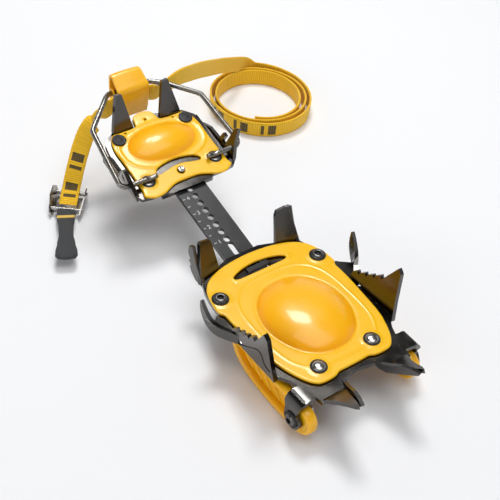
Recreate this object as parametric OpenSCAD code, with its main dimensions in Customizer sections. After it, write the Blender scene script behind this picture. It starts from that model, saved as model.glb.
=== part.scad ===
// Twelve-point crampon for one boot, lying sole-up: points up, boot side down, toe towards +X.
// The front section is level; the extender bar and the heel section rise towards the heel.

/* [Front section] */
// Distance between the two back screws of the front plate
front_screw_spacing = 80; // [76:1:84]
// Distance from the back screws to the front rivets
front_rivet_reach = 79; // [76:1:82]
// Distance between the two front rivets
front_rivet_spacing = 42.8; // [40:0.2:46]
// Height of the front plate's top above the floor
plate_height = 34; // [33.5:0.1:36]

/* [Steel and wire] */
// Thickness of the sheet steel
steel = 3; // [2.6:0.1:3.2]
// Diameter of the heel bail's wire
wire_d = 3.8; // [3.2:0.1:4]
// Thickness of the anti-balling plates
plate_t = 2.2; // [1.8:0.1:2.4]

/* [Extender bar] */
// Width of the extender bar
bar_w = 24; // [22:0.5:25]
// Distance from one adjusting hole to the next
hole_pitch = 6.86; // [6.6:0.02:7]
// Diameter of an adjusting hole
hole_d = 5.2; // [4.8:0.1:5.4]
// Number of adjusting holes
hole_count = 13; // [11:1:14]
// Angle at which the bar and heel section rise towards the heel
heel_tilt = 13.7; // [12:0.1:15]

/* [Heel section] */
// Distance between the heel screws, and between the heel rivets
heel_screw_spacing = 56; // [54:0.5:58]
// Width of the heel lever
lever_w = 26; // [24:0.5:28]

/* [Strap] */
// Width of the webbing
strap_w = 13.5; // [12:0.5:15]
// Thickness of the webbing as a solid
strap_t = 2.4; // [2:0.1:3]
// Outer radius of the coiled strap
coil_r = 44.5; // [42:0.5:48]

/* [Hidden] */
$fn = 32;

// Places: the front section's own origin is midway between its back screws, at the plate's top.
toe_shift = 33.3;
front_origin = [toe_shift, 0, plate_height];
bar_origin = [toe_shift - 28, 0, plate_height - 8];
gap = 0.3;
frame_top = -plate_t - gap;
frame_low = frame_top - steel;
bolt_x = 91;
bolt_z = -19;
bolt_r = 2.5;
arm_out = 45.6;
arm_in = 38;
heel_frame_low = gap;
heel_plate_low = heel_frame_low + steel;
heel_plate_top = heel_plate_low + plate_t;
first_hole = -21.1;
lock_x = first_hole - 9 * hole_pitch;
post_x = -83.4;
wire_z = 8.7;
lever_x = -160.7;
lever_z = 12.3;
coil_centre = [-164.2, 137];
coil_inner = 33;
buckle_at = [-132.7, -61, 2.9];
buckle_turn = -39.8;
gate_at = [9.5, 0, 2.4];
tab_turn = 12;

module in_front() {
    translate(front_origin) children();
}
module on_bar() {
    translate(bar_origin) rotate([0, heel_tilt, 0]) children();
}
module both_sides() {
    children();
    mirror([0, 1, 0]) children();
}
module slab(points, low, thick) {
    translate([0, 0, low]) linear_extrude(thick) polygon(points);
}
// A flat plate whose outline is given in X and Z, standing at y and growing towards -Y.
module upright(points, y, thick) {
    translate([0, y, 0]) rotate([90, 0, 0]) linear_extrude(thick) polygon(points);
}
function mirrored(half) = concat(half, [for (i = [len(half) - 1 : -1 : 0]) [half[i][0], -half[i][1]]]);
// Half of an ellipse seen from the side, as a profile to turn about the long axis of a dome.
function cap_profile(half_length, radius, power) =
    [for (i = [0 : 16]) let (a = -90 + i * 11.25)
        [radius * pow(cos(a), power), half_length * sin(a)]];

/* Front section */
front_half = [[-26.5, 0], [-25.5, 14], [-23, 26], [-19, 35], [-13, 41.5], [-5, 45], [4, 47], [14, 46.6],
    [26, 45], [40, 43.4], [56, 42], [70, 39.4], [80, 35.5], [87, 30], [90.2, 24], [90.2, 16], [88.2, 12],
    [88, 0]];
front_outline = mirrored(front_half);
front_window = [[14, 18], [24, 24], [42, 26], [56, 22], [64, 12], [64, -12], [56, -22], [42, -26],
    [24, -24], [14, -18], [9, -8], [9, 8]];
banana_half = [[-9.5, 0], [-9.2, 18.5], [-10.2, 21], [-12, 21.4], [-14.6, 17.5], [-16.8, 9.5], [-17.6, 0]];
tooth_tops = [[31.6, 13.3], [38, 16.6], [44.4, 20], [50.6, 24.2]];

module front_frame_sheet() {
    frame_half = [[-31.5, 0], [-31.5, 13], [-29.4, 19], [-28, 23], [-23.5, 36], [-20.4, 40.4], [-13, 43.4],
        [-5, 45.2], [4, 46.4], [9, 46.8], [26, 46.8], [30, 49.2], [69, 47.8], [71.4, 44.6], [76, 41.6],
        [82, 39.4], [83, 45.5], [95, 45.5], [95.4, 37], [96.4, 30], [96.6, 15], [93.4, 11.4], [91.8, 5],
        [91.6, 0]];
    difference() {
        slab(mirrored(frame_half), frame_low, steel);
        slab(front_window, frame_low - 1, steel + 2);
        slab([[-9.6, -9], [-9.6, 9], [-18.6, 9], [-18.6, -9]], frame_low - 1, steel + 2);
        front_plate_holes(2.6, 2.6);
        both_sides() translate([22, 48.6, 0]) relief_slot();
    }
}
module relief_slot() {
    translate([0, 0, -12]) cylinder(r = 2.6, h = 11);
    translate([12, 0, -12]) cylinder(r = 2.6, h = 11);
    translate([0, -2.6, -12]) cube([12, 5.2, 11]);
}
module front_plate_holes(screw_r, rivet_r) {
    both_sides() {
        translate([0, front_screw_spacing / 2, -12]) cylinder(r = screw_r, h = 24);
        translate([front_rivet_reach, front_rivet_spacing / 2, -12]) cylinder(r = rivet_r, h = 24);
    }
}
// The serrated side blade, its outline measured along X and up the leaning sheet.
module side_blade() {
    teeth = [for (t = tooth_tops, k = [0 : 2]) [t[0] + [-3.4, 0, 1.6][k], t[1] + [-2.9, 0, -2.4][k]]];
    outline = concat([[71, 0.4], [30.4, 0.4], [27, 5.6]], teeth, [[53.6, 24], [62.4, 38.7], [65.6, 36],
        [68.4, 15]]);
    translate([0, 46, frame_low]) rotate([-8, 0, 0]) difference() {
        upright(outline, steel, steel);
        translate([31, -1, 3.2]) rotate([-90, 0, 0]) cylinder(r = 2.7, h = steel + 2);
        translate([37, -1, 3.2]) rotate([-90, 0, 0]) cylinder(r = 2.7, h = steel + 2);
        translate([31, -1, 0.5]) cube([6, steel + 2, 5.4]);
    }
}
// One ring of four corners around a stop of a swept horn: [centre, up across the sheet, width, thickness].
function horn_ring(stops, i) =
    let (n = len(stops), along = unit(stops[min(i + 1, n - 1)][0] - stops[max(i - 1, 0)][0]),
        w = across(stops[i][1], along), t = cross(along, w), hw = stops[i][2] / 2, ht = stops[i][3] / 2)
    [stops[i][0] + w * hw + t * ht, stops[i][0] - w * hw + t * ht, stops[i][0] - w * hw - t * ht,
        stops[i][0] + w * hw - t * ht];
module horn(stops) {
    n = len(stops);
    points = [for (i = [0 : n - 1]) for (p = horn_ring(stops, i)) p];
    sides = [for (i = [0 : n - 2], k = [0 : 3], half = [0, 1])
        let (j = i * 4 + k, m = i * 4 + (k + 1) % 4) half == 0 ? [m, j, m + 4] : [m + 4, j, j + 4]];
    polyhedron(points = points, faces = concat([[0, 1, 2, 3]], sides,
        [[4 * n - 1, 4 * n - 2, 4 * n - 3, 4 * n - 4]]));
}
// The hooked point beside the back screw: a web and a horn that sweeps outwards and climbs to its tip.
module side_hook() {
    slab([[9, 46], [31, 46], [31.2, 50.2], [27.6, 52.2], [23.2, 55.6], [18.6, 57.6], [15.6, 57.4], [13.4, 54.6],
        [11, 51.4], [9, 49.4]], frame_low + 0.05, steel - 0.1);
    horn([[[33, 48.2, -2.2], [0, -0.1, 1], 6.4, 3], [[29.6, 50.2, -2], [0, -0.15, 1], 6.8, 3],
        [[26, 52.6, -1.6], [0.05, -0.15, 1], 7.2, 3], [[22.6, 55.1, -0.9], [0.1, -0.15, 1], 7.6, 3],
        [[19.2, 57.2, 0.7], [0.3, -0.1, 1], 7.8, 3], [[16.2, 58.7, 3.1], [0.6, -0.1, 1], 7.4, 3],
        [[13.6, 59.7, 6.4], [1, 0, 1], 6.6, 2.9], [[11.6, 60.3, 10.2], [1, 0, 0.6], 5.4, 2.8],
        [[10.1, 60.7, 14], [1, 0, 0.4], 3.8, 2.6], [[8.9, 60.9, 18.4], [1, 0, 0.3], 1.2, 2.2]]);
}
// A back point: a tapered blade that leans back, with a toothed wall folded off its outer edge.
module back_point() {
    translate([-25, 31.4, frame_low]) rotate([0, -21, 0]) rotate([0, 0, -12]) rotate([90, 0, 90])
        linear_extrude(steel) polygon([[-10, 0], [10.6, 0], [9.4, 6], [5.2, 27.6], [3.8, 28.6], [-3.4, 27.4],
            [-5, 24], [-6.6, 12], [-7.8, 4]]);
    upright([[-18, frame_low], [-28, frame_low], [-33, -1.6], [-35, 2.2], [-33.4, 3.6], [-36.4, 6.4],
        [-35, 8.2], [-37.6, 12.4], [-37.2, 18], [-33, 20.2], [-28, 8]], 40.6, 2.4);
}
// A front point: a web that runs forward and climbs to the tip, with a folded rib along its inner side.
module front_point() {
    slab([[86, 12.6], [96, 14.2], [101, 16.2], [101, 35.2], [93, 36], [86, 36]], frame_low, steel);
    translate([99.6, 0, frame_low]) rotate([0, -29.5, 0]) slab([[0, 15.4], [9, 19.2], [21.5, 23.8],
        [26, 25.8], [23, 27.2], [17, 28], [10, 29.8], [4, 32.6], [0, 34.8]], 0, steel);
    translate([95.5, 15.2, 0]) rotate([0, 0, 19.4]) upright([[0, frame_low + 0.05], [5.6, frame_low + 0.05],
        [15, -0.6], [26.2, 6.2], [27, 8.2], [21, 8.4], [14, 6.2], [7, 2], [1, -0.9], [-5, frame_top - 0.1]],
        0, steel * 0.8);
}
module front_frame() {
    color([0.10, 0.10, 0.11]) in_front() {
        front_frame_sheet();
        both_sides() {
            side_blade();
            side_hook();
            back_point();
            front_point();
        }
    }
}
module front_dome() {
    intersection() {
        translate([40.5, 0, -20]) rotate([0, 90, 0]) rotate_extrude() polygon(cap_profile(36, 29, 0.75));
        translate([0, -40, -plate_t]) cube([90, 80, 20]);
    }
}
module front_antiball_plate() {
    color([1.0, 0.78, 0.05]) in_front() difference() {
        union() {
            slab(front_outline, -plate_t, plate_t);
            front_dome();
        }
        slab(mirrored(banana_half), -plate_t - 1, plate_t + 2);
        front_plate_holes(2.6, 2.6);
    }
}
module button_screw(head_r, head_h, shank_r, shank_l, socket_r) {
    difference() {
        union() {
            cylinder(r1 = head_r, r2 = head_r * 0.8, h = head_h);
            translate([0, 0, -shank_l]) cylinder(r = shank_r, h = shank_l);
        }
        translate([0, 0, head_h - 1.3]) cylinder(r = socket_r, h = 2, $fn = 6);
    }
}
module front_back_screws() {
    color([0.30, 0.30, 0.33]) in_front() both_sides()
        translate([0, front_screw_spacing / 2, 0]) button_screw(5, 2, 2.5, 9.2, 1.7);
}
module hex_nut(across, thick, bore_r) {
    difference() {
        cylinder(d = across, h = thick, $fn = 6);
        translate([0, 0, -1]) cylinder(r = bore_r, h = thick + 2);
    }
}
module front_screw_nuts() {
    color([0.45, 0.45, 0.47]) in_front() both_sides()
        translate([0, front_screw_spacing / 2, frame_low - 3]) hex_nut(8.6, 3, 2.5);
}
module domed_rivet(head_r, shank_r, shank_l, tail_r) {
    intersection() {
        translate([0, 0, 1.9 - head_r * 1.6]) sphere(r = head_r * 1.6);
        cylinder(r = head_r, h = 4);
    }
    translate([0, 0, -shank_l]) cylinder(r = shank_r, h = shank_l);
    translate([0, 0, -shank_l - 1.2]) cylinder(r = tail_r, h = 1.2);
}
module front_rivets() {
    color([0.80, 0.80, 0.82]) in_front() both_sides()
        translate([front_rivet_reach, front_rivet_spacing / 2, 0.5])
            domed_rivet(4.3, 2.5, 6.1 - frame_top - 2.2, 4);
}
module ring(outer, inner, thick) {
    difference() {
        cylinder(r = outer, h = thick);
        translate([0, 0, -1]) cylinder(r = inner, h = thick + 2);
    }
}
module front_rivet_rings() {
    color([0.12, 0.12, 0.13]) in_front() both_sides()
        translate([front_rivet_reach, front_rivet_spacing / 2, 0]) ring(5.3, 2.6, 0.5);
}

/* Toe basket and its brackets */
module toe_bracket() {
    difference() {
        union() {
            translate([bolt_x, 49.4, bolt_z]) rotate([90, 0, 0]) cylinder(r = 7.4, h = steel);
            upright([[83.8, bolt_z], [98.2, bolt_z], [95.6, -16.6], [94.6, -14], [94.9, -11.6], [96.2, -9.6],
                [97, -7.8], [96, frame_top], [82, frame_top], [81.8, -8], [83.2, -12]], 49.4, steel);
            slab([[82, 45.8], [96, 45.8], [96, 48], [82, 48]], frame_low, steel);
        }
        translate([bolt_x, 60, bolt_z]) rotate([90, 0, 0]) cylinder(r = bolt_r, h = 30);
    }
}
module toe_brackets() {
    color([0.22, 0.22, 0.24]) in_front() both_sides() toe_bracket();
}
module basket_arm() {
    arm = [[96, -9.6], [80, -9.6], [76, -9], [24, -9], [21.4, -11], [21, -14.6], [22.4, -19], [26, -23.8],
        [32, -28], [40, -31], [50, -33], [62, -34], [76, -34], [86, -32.8], [91, bolt_z - 13]];
    difference() {
        union() {
            upright(arm, arm_out, arm_out - arm_in);
            translate([bolt_x, arm_out, bolt_z]) rotate([90, 0, 0]) cylinder(r = 13, h = arm_out - arm_in);
        }
        translate([78, 30, -9.6]) cube([40, 20, 10]);
    }
}
module toe_basket() {
    color([1.0, 0.74, 0.05]) in_front() difference() {
        union() {
            both_sides() basket_arm();
            upright([[21.4, -11], [24, -9], [32, -9], [34, -12], [30, -20], [24, -18.4], [21.6, -15]], arm_in,
                2 * arm_in);
        }
        translate([bolt_x, 60, bolt_z]) rotate([90, 0, 0]) cylinder(r = 3.6, h = 120);
    }
}
module basket_bolts() {
    color([0.28, 0.28, 0.30]) in_front() both_sides()
        translate([bolt_x, 49.5, bolt_z]) rotate([-90, 0, 0]) button_screw(4.4, 2.2, bolt_r, 15, 1.6);
}
module basket_nuts() {
    color([0.45, 0.45, 0.47]) in_front() both_sides()
        translate([bolt_x, arm_in - 0.2, bolt_z]) rotate([90, 0, 0]) hex_nut(8.6, 3, bolt_r);
}
module basket_sleeves() {
    color([0.70, 0.70, 0.72]) in_front() both_sides()
        translate([bolt_x, arm_out + 0.2, bolt_z]) rotate([90, 0, 0]) ring(3.55, bolt_r + 0.06, 7.8);
}

/* Extender bar */
// The front section tips about the bar's nose, where it passes through the frame's slot.
module on_front_hinge() {
    translate([11.682, 0, 6.965]) children();
}
module extender_bar() {
    color([0.13, 0.13, 0.14]) on_bar() difference() {
        union() {
            translate([-128, -bar_w / 2, -steel]) cube([141.4, bar_w, steel]);
            translate([10.4, -6, -steel]) cube([steel, 12, 12.4]);
            on_front_hinge() rotate([90, 0, 0]) cylinder(r = 1.9, h = 12, center = true);
            translate([10.4, -8.4, 7.4]) cube([steel, 16.8, 2.4]);
        }
        for (i = [0 : hole_count - 1])
            translate([first_hole - i * hole_pitch, -1, -10]) cylinder(d = hole_d, h = 20);
        translate([-15.5, -1, -10]) cylinder(r = 2.5, h = 20);
        translate([-8.5, -1, -10]) cylinder(r = 2.5, h = 20);
        translate([-15.5, -3.5, -10]) cube([7, 5, 20]);
    }
}

/* Heel section */
heel_half = [[-142, 0], [-141.2, 4.6], [-138, 9], [-135.6, 12], [-135, 20], [-131.6, 29], [-125, 34],
    [-116, 35.2], [-98, 35.2], [-86, 35.3], [-77, 35.4], [-74.6, 35.6], [-74.3, 37.4], [-72.4, 36.2],
    [-70, 32.5], [-69, 26], [-70.6, 19],
    [-73.6, 14], [-75, 6], [-75, 0]];
heel_slot_half = [[-94.2, 0], [-93.6, 7], [-91.6, 14], [-89.6, 17.6], [-87, 18.4], [-85.4, 16.6],
    [-87, 10], [-88.4, 5], [-88.8, 0]];
flange_lean = 18;

module heel_holes(screw_r, rivet_r, pin_r) {
    both_sides() {
        translate([-123.8, heel_screw_spacing / 2, -12]) cylinder(r = screw_r, h = 24);
        translate([post_x + 0.2, heel_screw_spacing / 2, -12]) cylinder(r = rivet_r, h = 24);
    }
    translate([lock_x, -1, -12]) cylinder(r = pin_r, h = 24);
}
module at_spike() {
    translate([-132.6, 19.6, heel_frame_low]) rotate([0, -29, 0]) rotate([0, 0, -4]) children();
}
module heel_spike() {
    at_spike() rotate([90, 0, 90])
        linear_extrude(steel) polygon([[-9, 0], [9, 0], [8.4, 6], [2.2, 30.6], [-2.6, 30.2], [-7.6, 6]]);
}
// The front post and the small hooked tooth behind it, on one wall that leans outwards.
module heel_post() {
    wall = [[-40, -4], [-40, 1], [-32, 4.4], [-19.6, 5], [-18.6, 11.4], [-15.4, 10.8], [-15.8, 6], [-12, 5.6],
        [-12, 22], [-9, 24.4], [-6, 15], [0.6, 4], [2, -1], [0, -4]];
    translate([-77, 38.4, heel_frame_low + 1]) rotate([-flange_lean, 0, 0])
        upright(wall, steel, steel);
}
module heel_frame() {
    half = [[-139, 0], [-139, 8], [-137.4, 12], [-136.4, 21], [-133, 31], [-126, 37.6], [-116, 39.4],
        [-77, 41], [-72.6, 38.4], [-71.4, 30], [-71.4, 20], [-69, 17], [-69, 0]];
    window = [[-128, 12], [-122, 19], [-104, 21], [-97, 14], [-97, -14], [-104, -21], [-122, -19],
        [-128, -12]];
    color([0.10, 0.10, 0.11]) on_bar() difference() {
        union() {
            slab(mirrored(half), heel_frame_low, steel);
            both_sides() {
                heel_spike();
                heel_post();
                upright([[-122, -9.6], [-106, -9.6], [-102, -3], [-100, heel_frame_low + 1],
                    [-126, heel_frame_low + 1], [-124, -4]], 40.4, steel);
            }
        }
        slab(window, -10, 20);
        heel_holes(2.6, 2.6, 2.7);
        translate([post_x, 60, wire_z]) rotate([90, 0, 0]) cylinder(r = wire_d / 2 + 0.06, h = 120);
    }
}
module heel_dome() {
    intersection() {
        translate([-111.5, 0, heel_plate_top - 17]) rotate([90, 0, 0]) rotate_extrude()
            polygon(cap_profile(31, 23.6, 0.75));
        translate([-140, -34, heel_plate_low]) cube([60, 68, 20]);
    }
}
module heel_antiball_plate() {
    color([1.0, 0.78, 0.05]) on_bar() difference() {
        union() {
            slab(mirrored(heel_half), heel_plate_low, plate_t);
            heel_dome();
        }
        slab(mirrored(heel_slot_half), heel_plate_low - 1, plate_t + 2);
        heel_holes(2.6, 2.6, 2.7);
        both_sides() {
            translate([-128.6, 20.1, 0]) cylinder(r = 1, h = 12);
            at_spike() translate([-9, -9.4, -3]) cube([12.35, 18.8, 14]);
        }
        translate([-134.4, 0, 0]) cylinder(r = 1, h = 12);
    }
}
module heel_rear_screws() {
    color([0.16, 0.16, 0.17]) on_bar() both_sides() translate([-123.8, heel_screw_spacing / 2, heel_plate_top])
        button_screw(4.8, 1.3, 2.5, 9.4, 1.7);
}
module heel_screw_nuts() {
    color([0.45, 0.45, 0.47]) on_bar() both_sides()
        translate([-123.8, heel_screw_spacing / 2, heel_frame_low - 3]) hex_nut(8.6, 3, 2.5);
}
module heel_front_rivets() {
    color([0.80, 0.80, 0.82]) on_bar() both_sides()
        translate([post_x + 0.2, heel_screw_spacing / 2, heel_plate_top + 0.4])
            flat_rivet();
}
// A low-headed rivet that leaves room for the wire's end above it.
module flat_rivet() {
    cylinder(r1 = 3.8, r2 = 3, h = 0.5);
    translate([0, 0, -6.2]) cylinder(r = 2.5, h = 6.2);
    translate([0, 0, -7]) cylinder(r = 4, h = 1.1);
}
module heel_rivet_washers() {
    color([0.12, 0.12, 0.13]) on_bar() both_sides()
        translate([post_x + 0.2, heel_screw_spacing / 2, heel_plate_top]) ring(5.2, 2.6, 0.4);
}
// The guide is a channel below the heel frame that the bar slides in.
module bar_guide() {
    color([0.12, 0.12, 0.13]) on_bar() difference() {
        translate([-98, -bar_w / 2 - 9, -steel - gap - 2]) cube([26, bar_w + 18, steel + gap + 2]);
        translate([-110, -bar_w / 2 - gap, -steel - gap]) cube([50, bar_w + 2 * gap, 10]);
        translate([lock_x, -1, -12]) cylinder(r = 2.7, h = 24);
        both_sides() for (x = [-94, -76]) translate([x, bar_w / 2 + 5, -12]) {
            cylinder(r = 1.6, h = 24);
            cylinder(r = 3.06, h = 12 - steel - gap - 2 + 1.2);
        }
    }
}
module guide_rivets() {
    color([0.40, 0.40, 0.42]) on_bar() both_sides() for (x = [-94, -76])
        translate([x, bar_w / 2 + 5, -steel - gap - 1.9]) {
            cylinder(r = 3, h = 1.05);
            cylinder(r = 1.6, h = steel + gap + 1.9);
        }
}
// The lock pin stands clear above the bar and drops into one of its holes.
module lock_pin() {
    color([0.75, 0.75, 0.77]) on_bar() translate([lock_x, -1, 0.25]) {
        cylinder(r = 2.3, h = heel_plate_top - 0.25 + 0.9);
        translate([0, 0, heel_plate_top + 0.15]) cylinder(r1 = 2.6, r2 = 2, h = 1.1);
    }
}

/* Heel bail and lever */
// The wire bows a little further out on its right side than on its left.
function bail_half(b_y, c_x, c_y) = [[post_x, 21, wire_z], [post_x, 34, wire_z], [post_x, 44.5, wire_z],
    [post_x - 0.8, 47.4, wire_z + 0.2], [post_x - 3, 49.2, wire_z + 0.8], [post_x - 6, 49.3, wire_z + 1.4],
    [-131.5, b_y, 14], [-134.6, b_y - 1.6, 14.3], [c_x, c_y, 14.6], [c_x - 3.4, c_y - 3.2, 14.4],
    [lever_x + 0.9, 17.4, lever_z + 0.7], [lever_x, 15.2, lever_z], [lever_x, 13.6, lever_z], [lever_x, 0, lever_z]];

function unit(v) = v / norm(v);
function across(v, along) = unit(v - along * (v * along));
// One twelve-sided ring of a wire around a point of its path.
function wire_ring(path, i, r) =
    let (n = len(path), along = unit(path[min(i + 1, n - 1)] - path[max(i - 1, 0)]), w = across([0, 0, 1], along),
        u = cross(along, w))
    [for (k = [0 : 11]) path[i] + r * (w * cos(30 * k) + u * sin(30 * k))];
module wire(path, r) {
    n = len(path);
    points = [for (i = [0 : n - 1]) for (p = wire_ring(path, i, r)) p];
    sides = [for (i = [0 : n - 2], k = [0 : 11], half = [0, 1])
        let (j = i * 12 + k, m = i * 12 + (k + 1) % 12)
        half == 0 ? [m, j, m + 12] : [m + 12, j, j + 12]];
    polyhedron(points = points, faces = concat([[for (k = [0 : 11]) k]], sides,
        [[for (k = [11 : -1 : 0]) (n - 1) * 12 + k]]));
}
module heel_bail_wire() {
    right = bail_half(46, -149, 30);
    left = bail_half(45.4, -153, 25);
    n = len(left);
    color([0.62, 0.61, 0.58]) on_bar()
        wire(concat(right, [for (i = [n - 2 : -1 : 0]) [left[i][0], -left[i][1], left[i][2]]]), wire_d / 2);
}
lever_outline = [[-153.8, 17.2], [-166.4, 22.4], [-169, 21.6], [-170, 19], [-167.4, 8], [-163, -3],
    [-158.6, -7.6], [-151, -7.6], [-148.4, -5.4]];
strap_slot = [[-154.7, 14.9], [-158, 14.1], [-154.8, 0.3], [-151.5, 1.1]];

module heel_lever() {
    color([1.0, 0.76, 0.08]) on_bar() difference() {
        upright(lever_outline, lever_w / 2, lever_w);
        upright(strap_slot, lever_w, 2 * lever_w);
        translate([lever_x, lever_w, lever_z]) rotate([90, 0, 0]) cylinder(r = wire_d / 2 + 0.06, h = 2 * lever_w);
        upright([[-158, -4], [-160.6, -1], [-164, 6], [-159.4, 5.4], [-156, -9], [-158, -9]], 9.5, 19);
    }
}
module lever_end_caps() {
    color([0.9, 0.66, 0.05]) on_bar() both_sides() translate([lever_x, lever_w / 2 + 1, lever_z])
        rotate([90, 0, 0]) ring(3.4, wire_d / 2 + 0.06, 1);
}

/* Strap and buckle */
module strap_in_lever() {
    color([1.0, 0.72, 0.05]) on_bar() translate([-154.75, 0, 7.6]) rotate([0, -13.4, 0])
        cube([strap_t, lever_w + 0.6, strap_w], center = true);
}
// Each stop on a strap's route is a point and the direction across the webbing there.
left_route = [[[-136.9, -14.8, 69.8], [0.1, 0, 1]], [[-136.8, -16.8, 69.6], [0.1, -0.05, 1]],
    [[-136.5, -19, 68], [0.1, -0.2, 1]], [[-137.6, -22.4, 65], [0.2, -0.3, 1]],
    [[-140.6, -26.8, 59.4], [0.3, 0.2, 0.7]],
    [[-143.2, -31, 52.4], [0.5, 0.6, 0.4]], [[-144.2, -35, 45], [0.6, 0.75, 0.2]],
    [[-142.8, -41, 34], [0.62, 0.76, 0]], [[-139.6, -46.6, 23], [0.64, 0.77, 0]],
    [[-136.6, -51.6, 13], [0.64, 0.77, 0]], [[-133.6, -55.4, 6], [0.64, 0.77, 0]],
    [[-130.6, -57.8, 3], [0.64, 0.77, 0]]];
right_route = [[[-136.9, 14.8, 69.8], [0.1, 0, 1]], [[-136.9, 16.8, 69.6], [0.1, 0, 1]],
    [[-136.7, 18.8, 68.3], [0.2, 0, 1]], [[-136.9, 21, 67.6], [0.24, 0, 1]], [[-137.6, 23.8, 67.3], [0.24, 0, 1]], [[-138.6, 27, 67.6], [0.2, 0, 1]],
    [[-139.4, 33, 69], [0.1, 0, 1]], [[-141.6, 44, 70.6], [0, 0, 1]], [[-147.6, 58.6, 66], [0, 0, 1]],
    [[-158.4, 76, 57], [0, 0, 1]], [[-172.4, 96, 45], [0, 0, 1]], [[-182, 114, 35.4], [0.1, 0, 1]],
    [[-188.6, 129, 27.4], [0.1, 0, 1]], [[-191.6, 135.6, 23.6], [0.1, 0, 1]]];
// One ring of the webbing's rounded-flat section around a route point.
function ring_at(route, i) =
    let (n = len(route), a = route[max(i - 1, 0)][0], b = route[min(i + 1, n - 1)][0], along = unit(b - a),
        w = across(route[i][1], along), t = cross(along, w))
    [for (k = [0 : 7]) route[i][0] + w * strap_w / 2 * [1, 1, 0.8, -0.8, -1, -1, -0.8, 0.8][k]
        + t * strap_t / 2 * [-0.5, 0.5, 1, 1, 0.5, -0.5, -1, -1][k]];
module webbing(route) {
    n = len(route);
    points = [for (i = [0 : n - 1]) for (p = ring_at(route, i)) p];
    sides = [for (i = [0 : n - 2], k = [0 : 7], half = [0, 1])
        let (j = i * 8 + k, m = i * 8 + (k + 1) % 8) half == 0 ? [m, j, m + 8] : [m + 8, j, j + 8]];
    near_end = [[for (k = [0 : 7]) k]];
    far_end = [[for (k = [7 : -1 : 0]) (n - 1) * 8 + k]];
    polyhedron(points = points, faces = concat(near_end, sides, far_end));
}
module strap_left() {
    color([1.0, 0.72, 0.05]) translate([toe_shift - 39.5, 0, 0]) webbing(left_route);
}
module strap_right() {
    color([1.0, 0.72, 0.05]) translate([toe_shift - 39.5, 0, 0]) webbing(right_route);
}
module strap_coil() {
    color([1.0, 0.72, 0.05]) translate([coil_centre[0], coil_centre[1], 0]) rotate_extrude()
        translate([coil_inner, 0]) square([coil_r - coil_inner, strap_w]);
}
module at_buckle() {
    translate(buckle_at) rotate([0, 0, buckle_turn]) children();
}
module buckle_frame() {
    color([0.66, 0.66, 0.66]) at_buckle() difference() {
        union() {
            translate([-9, -9.4, -2.6]) cube([16, 18.8, 1]);
            both_sides() translate([0, 9, -2.6]) rotate([-14, 0, 0])
                upright([[-12, 0], [9, 0], [15, 2.6], [14.6, 5.6], [2, 12.6], [-8, 12.6], [-13.4, 8]], 1, 1);
        }
        translate([-9.6, 20, 2.2]) rotate([90, 0, 0]) cylinder(r = 1.56, h = 40);
        translate([gate_at[0], 20, gate_at[2]]) rotate([90, 0, 0]) cylinder(r = 1.56, h = 40);
    }
}
module buckle_rear_bar() {
    color([0.72, 0.72, 0.72]) at_buckle() translate([-9.6, 12.6, 2.2]) rotate([90, 0, 0])
        cylinder(r = 1.5, h = 25.2);
}
module buckle_gate() {
    color([0.72, 0.72, 0.72]) at_buckle() translate(gate_at) {
        translate([0, 12.4, 0]) rotate([90, 0, 0]) cylinder(r = 1.5, h = 24.8);
        translate([-4.6, -7.4, -0.6]) cube([9, 14.8, 1.2]);
    }
}
tab_half = [[4.7, 6.6], [12, 6.6], [22, 5.4], [32, 5.2], [42, 6.4], [51, 7.8], [55, 7.4], [57, 5]];
module at_tab() {
    at_buckle() translate(gate_at) rotate([0, 0, tab_turn]) rotate([0, -4, 0]) children();
}
module pull_tab() {
    color([0.20, 0.20, 0.21]) at_tab() slab(mirrored(tab_half), -1.2, 2.4);
}
module pull_tab_band() {
    color([1.0, 0.80, 0.20]) at_tab() translate([9, -5.2, 1.2]) cube([3.4, 10.4, 0.6]);
}

front_frame();
front_antiball_plate();
front_back_screws();
front_screw_nuts();
front_rivets();
front_rivet_rings();
toe_brackets();
toe_basket();
basket_bolts();
basket_nuts();
basket_sleeves();
extender_bar();
heel_frame();
heel_antiball_plate();
heel_rear_screws();
heel_screw_nuts();
heel_front_rivets();
heel_rivet_washers();
bar_guide();
guide_rivets();
lock_pin();
heel_bail_wire();
heel_lever();
lever_end_caps();
strap_in_lever();
strap_left();
strap_right();
strap_coil();
buckle_frame();
buckle_rear_bar();
buckle_gate();
pull_tab();
pull_tab_band();
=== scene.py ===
import math
import bpy
import bmesh
from mathutils import Matrix, Vector


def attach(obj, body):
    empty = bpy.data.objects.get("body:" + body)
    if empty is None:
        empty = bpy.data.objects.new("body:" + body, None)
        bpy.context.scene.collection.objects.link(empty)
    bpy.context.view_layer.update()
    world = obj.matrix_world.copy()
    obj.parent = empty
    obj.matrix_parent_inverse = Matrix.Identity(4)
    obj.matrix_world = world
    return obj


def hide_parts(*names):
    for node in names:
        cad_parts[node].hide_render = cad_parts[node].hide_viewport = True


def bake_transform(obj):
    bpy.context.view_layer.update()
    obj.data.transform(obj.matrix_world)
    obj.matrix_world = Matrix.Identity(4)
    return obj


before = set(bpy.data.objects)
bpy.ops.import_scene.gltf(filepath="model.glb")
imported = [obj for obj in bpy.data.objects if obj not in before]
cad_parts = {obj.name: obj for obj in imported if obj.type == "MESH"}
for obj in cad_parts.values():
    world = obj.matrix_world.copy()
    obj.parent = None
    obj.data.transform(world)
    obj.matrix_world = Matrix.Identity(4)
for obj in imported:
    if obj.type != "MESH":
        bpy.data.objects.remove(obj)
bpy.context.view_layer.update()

MM = 0.001
TOE = 33.3
PLATE = 34.0
FIRST_HOLE, HOLE_PITCH = -21.1, 6.86      # the bar's adjusting holes, in mm along the bar
HEEL_SCREW_X, HEEL_RIVET_X = -123.8, -83.2
BORE, PLATE_THICK = 2.7, 2.2
TILT = math.radians(13.7)
CT, ST = math.cos(TILT), math.sin(TILT)


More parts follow.
